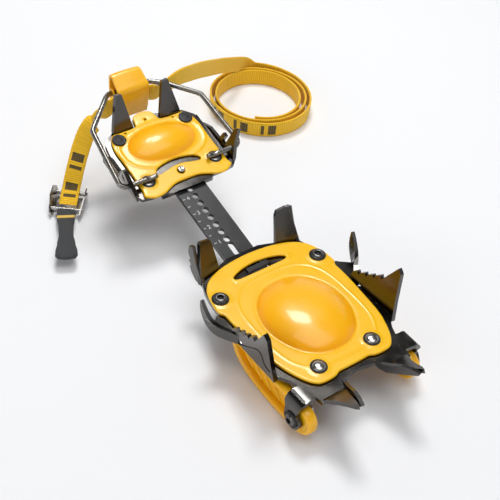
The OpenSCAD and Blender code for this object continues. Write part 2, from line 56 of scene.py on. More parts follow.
def F(x, y, z):
    """A point of the front section, in mm from the middle of its back screws, in the row frame."""
    return Vector((TOE + x, y, PLATE + z)) * MM


def H(x, y, z):
    """A point of the bar and heel section, in mm along, across and above the bar, in the row frame."""
    return Vector((TOE - 28 + CT * x + ST * z, y, PLATE - 8 - ST * x + CT * z)) * MM


# ---------------------------------------------------------------- camera
scene = bpy.context.scene
cam_data = bpy.data.cameras.new("camera")
cam = bpy.data.objects.new("camera", cam_data)
scene.collection.objects.link(cam)
scene.camera = cam
scene.view_settings.view_transform = "Standard"
cam_data.sensor_width = 36.0
cam_data.lens = 77.26
cam_data.clip_start = 0.02
cam_data.clip_end = 20.0
right = Vector((0.5816, 0.8105, 0.0699)).normalized()
forward = Vector((-0.5676, 0.4658, -0.6789)).normalized()
up = right.cross(forward).normalized()
right = forward.cross(up).normalized()
turn = Matrix((right, up, -forward)).transposed()
cam.matrix_world = Matrix.Translation(F(384.9, -335.2, 494.1)) @ turn.to_4x4()


# ---------------------------------------------------------------- small tools
def shade(obj, smooth=True):
    for p in obj.data.polygons:
        p.use_smooth = smooth


def new_mesh(name, verts, faces, material=None, smooth=True):
    me = bpy.data.meshes.new(name)
    me.from_pydata([tuple(v) for v in verts], [], faces)
    me.validate()
    me.update()
    ob = bpy.data.objects.new(name, me)
    scene.collection.objects.link(ob)
    if material:
        me.materials.append(material)
    if smooth:
        shade(ob)
    return ob


def flat(obj):
    """Replaces an object's mesh by what its modifiers make of it."""
    bpy.context.view_layer.update()
    deps = bpy.context.evaluated_depsgraph_get()
    me = bpy.data.meshes.new_from_object(obj.evaluated_get(deps))
    obj.modifiers.clear()
    old = obj.data
    if obj.type == "MESH":
        obj.data = me
        return obj
    ob = bpy.data.objects.new(obj.name + "_mesh", me)
    ob.matrix_world = obj.matrix_world.copy()
    scene.collection.objects.link(ob)
    for m in old.materials:
        if m and m.name not in [x.name for x in me.materials if x]:
            me.materials.append(m)
    bpy.data.objects.remove(obj)
    return ob


def join(name, objs):
    """One object from several meshes, with their places applied."""
    bm = bmesh.new()
    mats = []
    for o in objs:
        me = o.data
        part = bmesh.new()
        part.from_mesh(me)
        part.transform(o.matrix_world)
        index = []
        for m in me.materials:
            if m not in mats:
                mats.append(m)
            index.append(mats.index(m))
        tmp = bpy.data.meshes.new("tmp")
        for f in part.faces:
            f.material_index = index[f.material_index] if index else 0
        part.to_mesh(tmp)
        bm.from_mesh(tmp)
        part.free()
        bpy.data.meshes.remove(tmp)
    me = bpy.data.meshes.new(name)
    bm.to_mesh(me)
    bm.free()
    for m in mats:
        me.materials.append(m)
    for o in objs:
        bpy.data.objects.remove(o)
    ob = bpy.data.objects.new(name, me)
    scene.collection.objects.link(ob)
    return ob


def catmull(points, steps=8, closed=False):
    """A smooth line through points."""
    pts = [Vector(p) for p in points]
    n = len(pts)
    out = []
    last = n if closed else n - 1
    for i in range(last):
        if closed:
            p0, p1, p2, p3 = pts[i - 1], pts[i], pts[(i + 1) % n], pts[(i + 2) % n]
        else:
            p1, p2 = pts[i], pts[i + 1]
            p0 = pts[i - 1] if i else p1 * 2 - p2
            p3 = pts[i + 2] if i + 2 < n else p2 * 2 - p1
        for s in range(steps):
            t = s / steps
            out.append(0.5 * ((2 * p1) + (p2 - p0) * t + (2 * p0 - 5 * p1 + 4 * p2 - p3) * t * t
                              + (3 * p1 - p0 - 3 * p2 + p3) * t * t * t))
    if not closed:
        out.append(pts[-1])
    return out


def stations(points, step):
    """Where points about step apart fall on a line: pairs of the segment's number and the share of it."""
    dist = [0.0]
    for a, b in zip(points, points[1:]):
        dist.append(dist[-1] + (b - a).length)
    n = max(2, round(dist[-1] / step))
    out, j = [], 0
    for i in range(n + 1):
        d = dist[-1] * i / n
        while j < len(dist) - 2 and dist[j + 1] < d:
            j += 1
        t = (d - dist[j]) / max(dist[j + 1] - dist[j], 1e-9)
        out.append((j, min(max(t, 0), 1)))
    return out


def even(points, step):
    """The same line with points about step apart."""
    return [points[j].lerp(points[j + 1], t) for j, t in stations(points, step)]


def bevel(obj, width_mm, segments=3, angle=32):
    m = obj.modifiers.new("edge", "BEVEL")
    m.width = width_mm * MM
    m.segments = segments
    m.limit_method = "ANGLE"
    m.angle_limit = math.radians(angle)
    m.harden_normals = True
    m.use_clamp_overlap = True
    shade(obj)


# ---------------------------------------------------------------- materials
def material(name, color, rough=0.4, metal=0.0, coat=0.0, **sockets):
    m = bpy.data.materials.new(name)
    m.use_nodes = True
    nt = m.node_tree
    b = nt.nodes["Principled BSDF"]
    b.inputs["Base Color"].default_value = (*color, 1)
    b.inputs["Roughness"].default_value = rough
    b.inputs["Metallic"].default_value = metal
    b.inputs["Coat Weight"].default_value = coat
    b.inputs["Coat Roughness"].default_value = 0.08
    for k, v in sockets.items():
        b.inputs[k.replace("_", " ")].default_value = v
    return m


def node(nt, kind, **inputs):
    n = nt.nodes.new(kind)
    for k, v in inputs.items():
        key = k.replace("_", " ")
        if key in n.inputs:
            n.inputs[key].default_value = v
        else:
            setattr(n, k, v)
    return n


def math_node(nt, op, a, b=None, c=None):
    n = nt.nodes.new("ShaderNodeMath")
    n.operation = op
    for i, v in enumerate((a, b, c)):
        if v is None:
            continue
        if isinstance(v, (int, float)):
            n.inputs[i].default_value = v
        else:
            nt.links.new(v, n.inputs[i])
    return n.outputs[0]


def mix_color(nt, fac, a, b):
    n = nt.nodes.new("ShaderNodeMix")
    n.data_type = "RGBA"
    socks = [n.inputs[0], n.inputs[6], n.inputs[7]]
    for sock, v in zip(socks, (fac, a, b)):
        if isinstance(v, (int, float)):
            sock.default_value = v
        elif isinstance(v, tuple):
            sock.default_value = (*v, 1)
        else:
            nt.links.new(v, sock)
    return n.outputs[2]


def surface_detail(m, scale, bump_mm, rough_lo, rough_hi, tint, fine):
    """Noise that varies roughness, and slightly the colour, with a bump of a stated depth."""
    nt = m.node_tree
    b = nt.nodes["Principled BSDF"]
    src = nt.nodes.new("ShaderNodeTexCoord").outputs["Object"]
    n1 = node(nt, "ShaderNodeTexNoise", Scale=scale, Detail=5.0, Roughness=0.6)
    nt.links.new(src, n1.inputs["Vector"])
    mr = node(nt, "ShaderNodeMapRange")
    mr.inputs["From Min"].default_value = 0.3
    mr.inputs["From Max"].default_value = 0.7
    mr.inputs["To Min"].default_value = rough_lo
    mr.inputs["To Max"].default_value = rough_hi
    nt.links.new(n1.outputs["Fac"], mr.inputs["Value"])
    nt.links.new(mr.outputs["Result"], b.inputs["Roughness"])
    bump = node(nt, "ShaderNodeBump", Strength=1.0, Distance=bump_mm * MM)
    n2 = node(nt, "ShaderNodeTexNoise", Scale=fine, Detail=3.0)
    nt.links.new(src, n2.inputs["Vector"])
    nt.links.new(n2.outputs["Fac"], bump.inputs["Height"])
    nt.links.new(bump.outputs["Normal"], b.inputs["Normal"])
    base = tuple(b.inputs["Base Color"].default_value)[:3]
    dark = tuple(c * (1 - tint) for c in base)
    out = mix_color(nt, n1.outputs["Fac"], dark, tuple(min(1, c * (1 + tint)) for c in base))
    nt.links.new(out, b.inputs["Base Color"])


def worn_edges(m, color, radius_mm, amount):
    """A brighter line where the sheet's edges are rounded and rubbed."""
    nt = m.node_tree
    b = nt.nodes["Principled BSDF"]
    bev = node(nt, "ShaderNodeBevel", Radius=radius_mm * MM)
    bev.samples = 4
    geo = nt.nodes.new("ShaderNodeNewGeometry")
    dot = nt.nodes.new("ShaderNodeVectorMath")
    dot.operation = "DOT_PRODUCT"
    nt.links.new(bev.outputs["Normal"], dot.inputs[0])
    nt.links.new(geo.outputs["Normal"], dot.inputs[1])
    edge = math_node(nt, "SUBTRACT", 1.0, dot.outputs["Value"])
    nz = node(nt, "ShaderNodeTexNoise", Scale=350.0, Detail=4.0)
    nt.links.new(nt.nodes.new("ShaderNodeTexCoord").outputs["Object"], nz.inputs["Vector"])
    amp = math_node(nt, "MULTIPLY", edge, nz.outputs["Fac"])
    mr = node(nt, "ShaderNodeMapRange")
    mr.inputs["From Min"].default_value = 0.03
    mr.inputs["From Max"].default_value = 0.16
    mr.inputs["To Max"].default_value = amount
    nt.links.new(amp, mr.inputs["Value"])
    base = b.inputs["Base Color"]
    was = base.links[0].from_socket if base.links else tuple(base.default_value)[:3]
    nt.links.new(mix_color(nt, mr.outputs["Result"], was, color), base)


def mix_in_foot_shade(m, color):
    """Mixes in a deeper colour by the mesh's own measure of depth: painted shade, deepest at the foot of each dome.
    """
    nt = m.node_tree
    base = nt.nodes["Principled BSDF"].inputs["Base Color"]
    att = nt.nodes.new("ShaderNodeAttribute")
    att.attribute_name = "deep"
    was = base.links[0].from_socket
    nt.links.new(mix_color(nt, math_node(nt, "MULTIPLY", att.outputs["Fac"], 0.75), was, color), base)


YELLOW = (0.95, 0.52, 0.003)
plate_yellow = material("yellow_plate", YELLOW, 0.3, coat=0.3, Specular_IOR_Level=0.4,
                        Subsurface_Weight=0.12, Subsurface_Radius=(0.004, 0.002, 0.0005), Subsurface_Scale=1.0)
surface_detail(plate_yellow, 60, 0.02, 0.26, 0.38, tint=0.04, fine=700)
# painted shade: a deeper orange mixed in towards the foot of each dome
mix_in_foot_shade(plate_yellow, (1.0, 0.36, 0.0))
moulded_yellow = material("yellow_moulded", (0.95, 0.47, 0.003), 0.35, coat=0.2,
                          Subsurface_Weight=0.15, Subsurface_Radius=(0.005, 0.0025, 0.0006), Subsurface_Scale=1.0)
surface_detail(moulded_yellow, 90, 0.03, 0.3, 0.42, tint=0.06, fine=900)
black_steel = material("black_steel", (0.092, 0.087, 0.081), 0.2, 1.0, coat=0.3)
surface_detail(black_steel, 45, 0.010, 0.13, 0.27, tint=0.25, fine=1200)
worn_edges(black_steel, (0.28, 0.26, 0.235), 0.35, 0.5)
bar_steel = material("bar_steel", (0.012, 0.012, 0.013), 0.4, 0.3, coat=0.35)
surface_detail(bar_steel, 60, 0.015, 0.26, 0.42, tint=0.3, fine=1500)
worn_edges(bar_steel, (0.25, 0.245, 0.235), 0.35, 0.6)
bright_steel = material("bright_steel", (0.42, 0.41, 0.39), 0.22, 1.0)
surface_detail(bright_steel, 120, 0.008, 0.16, 0.30, tint=0.15, fine=2200)
burnished = material("burnished_steel", (0.14, 0.137, 0.132), 0.3, 1.0)
surface_detail(burnished, 160, 0.01, 0.22, 0.40, tint=0.3, fine=2200)
worn_edges(burnished, (0.45, 0.45, 0.43), 0.25, 0.7)
zinc = material("zinc_steel", (0.45, 0.45, 0.46), 0.35, 1.0)
surface_detail(zinc, 200, 0.01, 0.28, 0.45, tint=0.2, fine=2500)
wire_steel = material("wire_steel", (0.23, 0.22, 0.20), 0.25, 1.0)
surface_detail(wire_steel, 240, 0.006, 0.18, 0.34, tint=0.2, fine=2600)
matt_black = material("matt_black", (0.02, 0.02, 0.021), 0.5, 0.4)
surface_detail(matt_black, 150, 0.02, 0.42, 0.6, tint=0.3, fine=2000)
# painted shade: a near-black lining for socket recesses and engraved lines, where shade falls
painted_shade_black = material("painted_shade_black", (0.006, 0.006, 0.006), 0.6, 0.2)
surface_detail(painted_shade_black, 150, 0.02, 0.5, 0.7, tint=0.3, fine=2000)
buckle_steel = material("buckle_steel", (0.40, 0.39, 0.37), 0.25, 1.0)
surface_detail(buckle_steel, 150, 0.01, 0.18, 0.32, tint=0.15, fine=2000)


PRINT_REPEAT, PRINT_HALF = 23 * MM, 4.6 * MM


def webbing(name, color, dark, printed, rib_mm=1.7):
    """Woven webbing: u runs along the strap in metres, v across it in metres."""
    m = material(name, color, 0.75, Sheen_Weight=0.12, Sheen_Roughness=0.5)
    nt = m.node_tree
    b = nt.nodes["Principled BSDF"]
    uv = nt.nodes.new("ShaderNodeUVMap")
    uv.uv_map = "strap"
    sep = nt.nodes.new("ShaderNodeSeparateXYZ")
    nt.links.new(uv.outputs["UV"], sep.inputs["Vector"])
    u, v = sep.outputs["X"], sep.outputs["Y"]
    wave = math_node(nt, "SINE", math_node(nt, "MULTIPLY", u, 2 * math.pi / (rib_mm * MM)))
    wave01 = math_node(nt, "ABSOLUTE", math_node(nt, "MULTIPLY_ADD", wave, 0.5, 0.5))
    rib = math_node(nt, "POWER", wave01, 0.6)
    # warp threads run along the strap
    thread = math_node(nt, "SINE", math_node(nt, "MULTIPLY", v, 2 * math.pi / (0.9 * MM)))
    thread01 = math_node(nt, "MULTIPLY_ADD", thread, 0.5, 0.5)
    height = math_node(nt, "ADD", rib, math_node(nt, "MULTIPLY", thread01, 0.25))
    nz = node(nt, "ShaderNodeTexNoise", Scale=900.0, Detail=3.0)
    nt.links.new(nt.nodes.new("ShaderNodeTexCoord").outputs["Object"], nz.inputs["Vector"])
    height = math_node(nt, "ADD", height, math_node(nt, "MULTIPLY", nz.outputs["Fac"], 0.35))
    bump = node(nt, "ShaderNodeBump", Strength=0.9, Distance=0.35 * MM)
    nt.links.new(height, bump.inputs["Height"])
    nt.links.new(bump.outputs["Normal"], b.inputs["Normal"])
    shadow = tuple(c * 0.72 for c in color)
    col = mix_color(nt, math_node(nt, "MULTIPLY_ADD", rib, 0.75, 0.25), shadow, color)
    faded = tuple(c * 0.85 for c in color)
    col = mix_color(nt, math_node(nt, "MULTIPLY", nz.outputs["Fac"], 0.3), col, faded)
    if printed:
        # a wide and a narrow solid bar across the strap, on stated stretches only
        rep = math_node(nt, "FRACT", math_node(nt, "DIVIDE", u, PRINT_REPEAT))
        bars = [math_node(nt, "MULTIPLY", math_node(nt, "GREATER_THAN", rep, low),
                          math_node(nt, "LESS_THAN", rep, high)) for low, high in ((0.14, 0.42), (0.56, 0.68))]
        across_strap = math_node(nt, "MULTIPLY", math_node(nt, "GREATER_THAN", v, -PRINT_HALF),
                                 math_node(nt, "LESS_THAN", v, PRINT_HALF))
        ink = math_node(nt, "MULTIPLY", math_node(nt, "MAXIMUM", *bars), across_strap)
        att = nt.nodes.new("ShaderNodeAttribute")
        att.attribute_name = "printed"
        ink = math_node(nt, "MULTIPLY", ink, att.outputs["Fac"])
        fade = math_node(nt, "MULTIPLY", ink, math_node(nt, "MULTIPLY_ADD", nz.outputs["Fac"], -0.25, 1.02))
        col = mix_color(nt, fade, col, dark)
    nt.links.new(col, b.inputs["Base Color"])
    return m


yellow_web = webbing("yellow_webbing", (1.0, 0.58, 0.008), (0.012, 0.015, 0.013), True)
plain_web = webbing("yellow_webbing_plain", (1.0, 0.58, 0.008), (0.012, 0.015, 0.013), False)
grey_web = webbing("grey_webbing", (0.036, 0.038, 0.041), (0.01, 0.01, 0.01), False, rib_mm=1.1)
stitch_yellow = webbing("yellow_stitching", (0.95, 0.62, 0.12), (0.1, 0.1, 0.1), False, rib_mm=1.0)


# ---------------------------------------------------------------- strap builder
def strap_mesh(name, path, across, width, thick, mat, print_ranges=()):
    """Webbing along path, with its width along across, both lists of vectors of one length. The section is a
    flat oval with folded edges, and u and v on the mesh are metres along and across."""
    section = []
    half, t = width / 2, thick / 2
    for k in range(9):
        a = -1 + 2 * k / 8
        section.append((half * 0.97 * a, t * (1.0 - 0.12 * a * a)))
    section.append((half, t * 0.45))
    section.append((half, -t * 0.45))
    for k in range(9):
        a = 1 - 2 * k / 8
        section.append((half * 0.97 * a, -t * (1.0 - 0.12 * a * a)))
    section.append((-half, -t * 0.45))
    section.append((-half, t * 0.45))
    m = len(section)
    verts, faces, us, vs, ink = [], [], [], [], []
    n = len(path)
    run = 0.0
    for i in range(n):
        along = (path[min(i + 1, n - 1)] - path[max(i - 1, 0)]).normalized()
        w = (across[i] - along * across[i].dot(along)).normalized()
        nrm = along.cross(w)
        if i:
            run += (path[i] - path[i - 1]).length
        on = 1.0 if any(a <= run <= b for a, b in print_ranges) else 0.0
        for a, b in section:
            verts.append(path[i] + w * a + nrm * b)
            us.append(run)
            vs.append(a)
            ink.append(on)
    for i in range(n - 1):
        for k in range(m):
            a, b = i * m + k, i * m + (k + 1) % m
            faces.append((a, a + m, b + m, b))
    faces.append(tuple(range(m)))
    faces.append(tuple((n - 1) * m + k for k in reversed(range(m))))
    ob = new_mesh(name, verts, faces, mat)
    uv = ob.data.uv_layers.new(name="strap")
    for loop in ob.data.loops:
        uv.data[loop.index].uv = (us[loop.vertex_index], vs[loop.vertex_index])
    att = ob.data.attributes.new("printed", "FLOAT", "POINT")
    att.data.foreach_set("value", ink)
    return ob


def route(points, step_mm):
    """An even smooth path and the across directions along it, from stops of (point mm, direction)."""
    fine_p = catmull([Vector(p) for p, _ in points], 12)
    fine_a = catmull([Vector(a).normalized() for _, a in points], 12)
    path, across = [], []
    for j, t in stations(fine_p, step_mm):
        path.append(fine_p[j].lerp(fine_p[j + 1], t) * MM)
        across.append(fine_a[j].lerp(fine_a[j + 1], t).normalized())
    return path, across


SHIFT = TOE - 39.5     # the routes are written for a toe 39.5 mm forward


def shifted(points):
    return [((p[0] + SHIFT, p[1], p[2]), a) for p, a in points]


# ---------------------------------------------------------------- strap, first because the rest lies on it
W, T = 13.5 * MM, 1.7 * MM
COIL = Vector((-158 + SHIFT, 137, 0))
right_points = shifted([((-136.9, 14.6, 69.8), (0.1, 0, 1)), ((-136.9, 16.8, 69.6), (0.1, 0, 1)),
                        ((-136.7, 18.8, 68.3), (0.2, 0, 1)), ((-136.9, 21, 67.6), (0.24, 0, 1)),
                        ((-137.6, 23.8, 67.3), (0.24, 0, 1)),
                        ((-138.6, 27, 67.6), (0.2, 0, 1)), ((-139.4, 33, 69), (0.1, 0, 1)),
                        ((-141.6, 44, 70.6), (0, 0, 1)), ((-147.8, 58.6, 66), (-0.02, 0, 1)),
                        ((-158.6, 76, 57), (-0.04, 0, 1)), ((-171, 95, 45.6), (-0.04, 0, 1)),
                        ((-181.8, 114, 35.2), (-0.02, 0, 1)), ((-191, 134, 24.6), (0, 0, 1)),
                        ((-198.2, 150, 15.2), (0.02, 0, 1))])
TURNS, R_OUT, R_IN = 2.55, 44.0, 32.6
start_angle = 152.0
for i in range(0, int(TURNS * 24) + 1):
    ang = math.radians(start_angle - i * 15)
    part = i / (TURNS * 24)
    r = R_OUT + (R_IN - R_OUT) * part ** 0.92 + 1.5 * math.exp(-i / 2.2)
    r += 0.5 * math.sin(ang * 2 + 0.7) + 0.35 * math.sin(ang * 3 + part * 9)
    z = 6.95 + 1.4 * math.exp(-i / 1.6)
    lean = Vector((math.cos(ang) * 0.06, math.sin(ang) * 0.06, 1))
    right_points.append(((COIL.x + r * math.cos(ang), COIL.y + r * math.sin(ang), z), tuple(lean)))
path, across = route(right_points, 1.6)
strap_right = strap_mesh("strap_right_run", path, across, W, T, yellow_web,
                         print_ranges=((0.298, 0.365), (0.405, 0.45), (0.575, 0.62)))
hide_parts("strap_right", "strap_coil")
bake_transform(strap_right)

left_points = shifted([((-136.9, -14.6, 69.8), (0.1, 0, 1)), ((-136.8, -16.8, 69.6), (0.1, -0.05, 1)),
                       ((-136.5, -19, 68), (0.1, -0.2, 1)), ((-137.6, -22.4, 65), (0.2, -0.3, 1)),
                       ((-140.6, -26.8, 59.4), (0.35, 0.1, 0.7)), ((-143.0, -31, 52.6), (0.5, 0.55, 0.4)),
                       ((-143.8, -35.4, 45), (0.6, 0.75, 0.2)),
                       ((-142.4, -41, 34), (0.62, 0.76, 0.05)), ((-139.6, -46.6, 23), (0.64, 0.77, 0)),
                       ((-137, -51.0, 13.6), (0.64, 0.77, 0)), ((-134.9, -53.6, 9.0), (0.64, 0.77, 0)),
                       ((-131.6, -56.6, 7.2), (0.64, 0.77, 0)), ((-127.6, -60.0, 5.2), (0.64, 0.77, 0)),
                       ((-124.0, -63.0, 3.6), (0.64, 0.77, 0)), ((-120.5, -65.8, 3.3), (0.64, 0.77, 0))])
path, across = route(left_points, 1.4)
strap_left = strap_mesh("strap_left_run", path, across, W, T, yellow_web,
                        print_ranges=((0.046, 0.096),))
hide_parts("strap_left")
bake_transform(strap_left)

# the stretch hidden in the lever
slant = tuple(H(-156.4, 0, 14.6) - H(-153.2, 0, 0.8))
inside = [(tuple(H(-154.75, y, 7.6) / MM), slant) for y in (-14.2, -7, 0, 7, 14.2)]
path, across = route(inside, 1.6)
strap_mid = strap_mesh("strap_in_lever_web", path, across, W, T, plain_web)
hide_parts("strap_in_lever")
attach(strap_mid, "lever")


# ---------------------------------------------------------------- domed anti-balling plates
def outline_curve(name, loops, thick_mm, edge_mm, resolution=3):
    """A filled outline with holes, rounded along every edge. loops are lists of (x, y) in mm."""
    cu = bpy.data.curves.new(name, "CURVE")
    cu.dimensions = "2D"
    cu.fill_mode = "BOTH"
    cu.extrude = (thick_mm / 2 - edge_mm) * MM
    cu.bevel_depth = edge_mm * MM
    cu.bevel_resolution = resolution
    cu.offset = -edge_mm * MM
    for loop in loops:
        sp = cu.splines.new("POLY")
        sp.points.add(len(loop) - 1)
        for q, p in zip(sp.points, loop):
            q.co = (p[0] * MM, p[1] * MM, 0, 1)
        sp.use_cyclic_u = True
    ob = bpy.data.objects.new(name, cu)
    scene.collection.objects.link(ob)
    return ob


def circle_loop(x, y, r, n=40):
    return [(x + r * math.cos(2 * math.pi * k / n), y + r * math.sin(2 * math.pi * k / n)) for k in range(n)]


def smooth_loop(half, steps=6):
    """A mirrored half outline, smoothed all round."""
    full = half + [(x, -y) for x, y in reversed(half) if abs(y) > 1e-6]
    return [(p.x, p.y) for p in catmull([Vector((x, y, 0)) for x, y in full], steps, closed=True)]


def mirrored_slot(half):
    """A slot's smooth outline from its half, whose two ends lie on the middle line."""
    full = half + [(x, -y) for x, y in reversed(half[1:-1])]
    return [(p.x, p.y) for p in catmull([Vector((x, y, 0)) for x, y in full], 5, closed=True)]


def domed_plate(name, loops, thick, lift, height, deep, mat, place, voxel=0.5):
    """An outline with rounded edges, evened out and raised by height(x, y) in mm."""
    ob = outline_curve(name, loops, thick, min(0.8, thick * 0.38))
    ob = flat(ob)
    m = ob.modifiers.new("even", "REMESH")
    m.mode = "VOXEL"
    m.voxel_size = voxel * MM
    ob = flat(ob)
    for v in ob.data.vertices:
        x, y = v.co.x / MM, v.co.y / MM
        v.co.z += (height(x, y) + lift) * MM
    sm = ob.modifiers.new("soften", "SMOOTH")
    sm.factor = 0.5
    sm.iterations = 3
    ob = flat(ob)
    ob.data.materials.clear()
    ob.data.materials.append(mat)
    depth = ob.data.attributes.new("deep", "FLOAT", "POINT")
    depth.data.foreach_set("value", [deep(v.co.x / MM, v.co.y / MM) for v in ob.data.vertices])
    ob.data.transform(place)
    shade(ob)
    return ob


def front_round(x, y):
    """How far out a point lies from the dome's middle: 1 on the dome's edge."""
    dx = x - 40.5
    a = 34.5 if dx < 0 else 32.5
    b = 29.5 - 2.6 * max(0.0, dx / 32.5)
    return (abs(dx / a) ** 2.2 + abs(y / b) ** 2.2) ** (1 / 2.2)


def heel_round(x, y):
    return (abs((x + 111) / 15.5) ** 2.1 + abs(y / 26.5) ** 2.1) ** (1 / 2.1)


def dome_foot_shade(round_of):
    """Painted shade: the dome is deeper in colour towards its foot, and the flat plate beyond it is left as it is.
    """
    def value(x, y):
        r = round_of(x, y)
        if r >= 1.03:
            return 0.0
        return 0.35 + 0.65 * min(1.0, r) ** 4 * (1.0 if r < 0.98 else max(0.0, (1.03 - r) / 0.05))
    return value


place_front = Matrix.Translation(F(0, 0, 0))
place_heel = Matrix.Translation(H(0, 0, 0)) @ Matrix.Rotation(TILT, 4, "Y")


def bump_ring(r, at, width):
    return math.exp(-((r - at) / width) ** 2)


def front_height(x, y):
    r = front_round(x, y)
    h = 0.0
    if r < 1:
        h += 8.8 * (1 - r ** 2.3) ** 0.74
    h -= 0.2 * bump_ring(r, 1.04, 0.03)
    # a fine ridge round the plate, just outside the dome
    ring = (abs((x - 39) / 42.5) ** 3.2 + abs(y / 36.5) ** 3.2) ** (1 / 3.2)
    h += 0.3 * bump_ring(ring, 1.0, 0.016)
    # raised pads under the fasteners
    for px, py, pr in ((0, 40, 7.2), (79, 21.4, 7.0)):
        d = math.hypot(x - px, abs(y) - py)
        h += 0.35 / (1 + math.exp((d - pr) / 0.45))
    # the lip round the slot
    if x < -3:
        arch = -9.6 - 8.2 * max(0.0, 1 - (y / 23.0) ** 2)
        near = min(abs(x + 8.4), abs(x - arch + 0.9)) if abs(y) < 23 else 99
        h += 0.3 * math.exp(-(near / 1.3) ** 2)
    return h


def heel_height(x, y):
    r = heel_round(x, y)
    h = 0.0
    if r < 1:
        h += 6.6 * (1 - r ** 2.2) ** 0.85
    h += 0.25 * bump_ring(r, 1.02, 0.05)
    ring = (abs((x + 110.5) / 20.0) ** 2.4 + abs(y / 33.0) ** 2.4) ** (1 / 2.4)
    h += 0.40 * bump_ring(ring, 1.0, 0.035)
    for px, py, pr in ((HEEL_SCREW_X, 28, 5.6), (HEEL_RIVET_X, 28, 6.2)):
        d = math.hypot(x - px, abs(y) - py)
        h += 0.3 / (1 + math.exp((d - pr) / 0.4))
    return h


front_half = [(-26.8, 0), (-26.4, 8), (-25.4, 17), (-23.4, 26), (-20.6, 33), (-17, 38.4), (-12.6, 42.2),
              (-7, 44.8), (0, 46.6), (6, 47.4), (10, 47.2), (13, 45.4), (20, 45.4), (30, 45), (44, 43.8), (58, 42.4),
              (66, 41), (71, 39.4), (77, 37.2), (83, 34.2), (87.4, 30.8), (89.6, 27.4), (90.2, 22), (89.8, 16.4),
              (88.6, 13.6), (87.9, 11.4), (88, 6)]
slot_half = [(-9.0, 0), (-9.0, 9), (-9.2, 17.4), (-10, 20.4), (-11.6, 21.2), (-13.4, 19.4), (-15.4, 14.4),
             (-16.9, 8), (-17.6, 0)]
front_loops = [smooth_loop(front_half), mirrored_slot(slot_half)]
for s in (1, -1):
    front_loops += [circle_loop(0, 40 * s, BORE), circle_loop(79, 21.4 * s, BORE)]
front_plate = domed_plate("front_plate_domed", front_loops, PLATE_THICK, -1.1, front_height,
                          dome_foot_shade(front_round), plate_yellow, place_front)
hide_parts("front_antiball_plate")
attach(front_plate, "front")

heel_half = [(-142, 0), (-141.4, 4), (-139.4, 7.6), (-134.6, 9.2), (-131.2, 10.2), (-130.4, 14), (-130.4, 19.6),
             (-130.4, 25), (-130.6, 28.8), (-128.6, 31.6), (-124.2, 33.8), (-116, 35.4), (-106, 35.2),
             (-97, 35.1), (-89, 35.2), (-82, 35.4), (-77, 35.6),
             (-74.8, 36.4), (-73, 36.2), (-70.8, 32.8), (-69.2, 28.4), (-70, 21.6), (-72.6, 15.6), (-74.6, 10), (-75, 4)]
heel_slot_half = [(-94.2, 0), (-93.8, 6), (-92.2, 13), (-90, 17), (-87.6, 18.4), (-85.8, 16.8), (-86.8, 11),
                  (-88.2, 5.4), (-88.8, 0)]
LOCK_X = FIRST_HOLE - 9 * HOLE_PITCH
heel_loops = [smooth_loop(heel_half), mirrored_slot(heel_slot_half), circle_loop(LOCK_X, -1, BORE)]
for s in (1, -1):
    heel_loops += [circle_loop(HEEL_SCREW_X, 28 * s, BORE), circle_loop(HEEL_RIVET_X, 28 * s, BORE),
                   circle_loop(-128.3, 20.1 * s, 0.9, 20)]
heel_loops.append(circle_loop(-134.4, 0, 1.0, 20))
heel_plate = domed_plate("heel_plate_domed", heel_loops, PLATE_THICK, 0.3 + 3 + 1.1, heel_height,
                         dome_foot_shade(heel_round), plate_yellow, place_heel)
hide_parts("heel_antiball_plate")
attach(heel_plate, "heel")


# ---------------------------------------------------------------- steel parts kept from the CAD
def dress(name, mat, width_mm, segments=2, angle=30):
    """A CAD node's own material, with its edges slightly rounded."""
    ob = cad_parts[name]
    ob.data.materials.clear()
    ob.data.materials.append(mat)
    bevel(ob, width_mm, segments, angle)


for name, mat, *edge in (
        ("front_frame", black_steel, 0.45, 3, 28), ("heel_frame", black_steel, 0.45, 3, 28),
        ("extender_bar", bar_steel, 0.35), ("bar_guide", matt_black, 0.35), ("front_screw_nuts", zinc, 0.3),
        ("heel_screw_nuts", zinc, 0.3), ("basket_nuts", zinc, 0.3), ("basket_sleeves", zinc, 0.15),
        ("guide_rivets", zinc, 0.2), ("lever_end_caps", moulded_yellow, 0.2),
        ("buckle_frame", buckle_steel, 0.22), ("buckle_rear_bar", buckle_steel, 0.15),
        ("buckle_gate", buckle_steel, 0.25)):
    dress(name, mat, *edge)


# ---------------------------------------------------------------- bail wire
def bail_points(b_y, c_x, c_y, s):
    px, wz, lx, lz = -83.4, 8.7, -160.7, 12.3
    pts = [(px, 21, wz), (px, 28, wz), (px, 36, wz), (px, 44.6, wz), (px - 1.0, 47.6, wz + 0.2),
           (px - 3.4, 49.3, wz + 0.8), (px - 7, 49.4, wz + 1.5), (px - 24, 47.9, wz + 3.1), (-130, b_y + 0.2, 13.9),
           (-134.6, b_y - 1.6, 14.3), ((-134.6 + c_x) / 2, (b_y - 1.6 + c_y) / 2, 14.5), (c_x, c_y, 14.6),
           (c_x - 3.6, c_y - 3.6, 14.4), (lx + 1.0, 17.6, lz + 0.8), (lx, 14.6, lz), (lx, 8, lz), (lx, 0, lz)]
    return [H(x, y * s, z) for x, y, z in pts]


right_half = bail_points(46, -149, 30, 1)
left_half = bail_points(45.4, -153, 25, -1)
wire_line = even(catmull(right_half + list(reversed(left_half[:-1])), 10), 1.2 * MM)


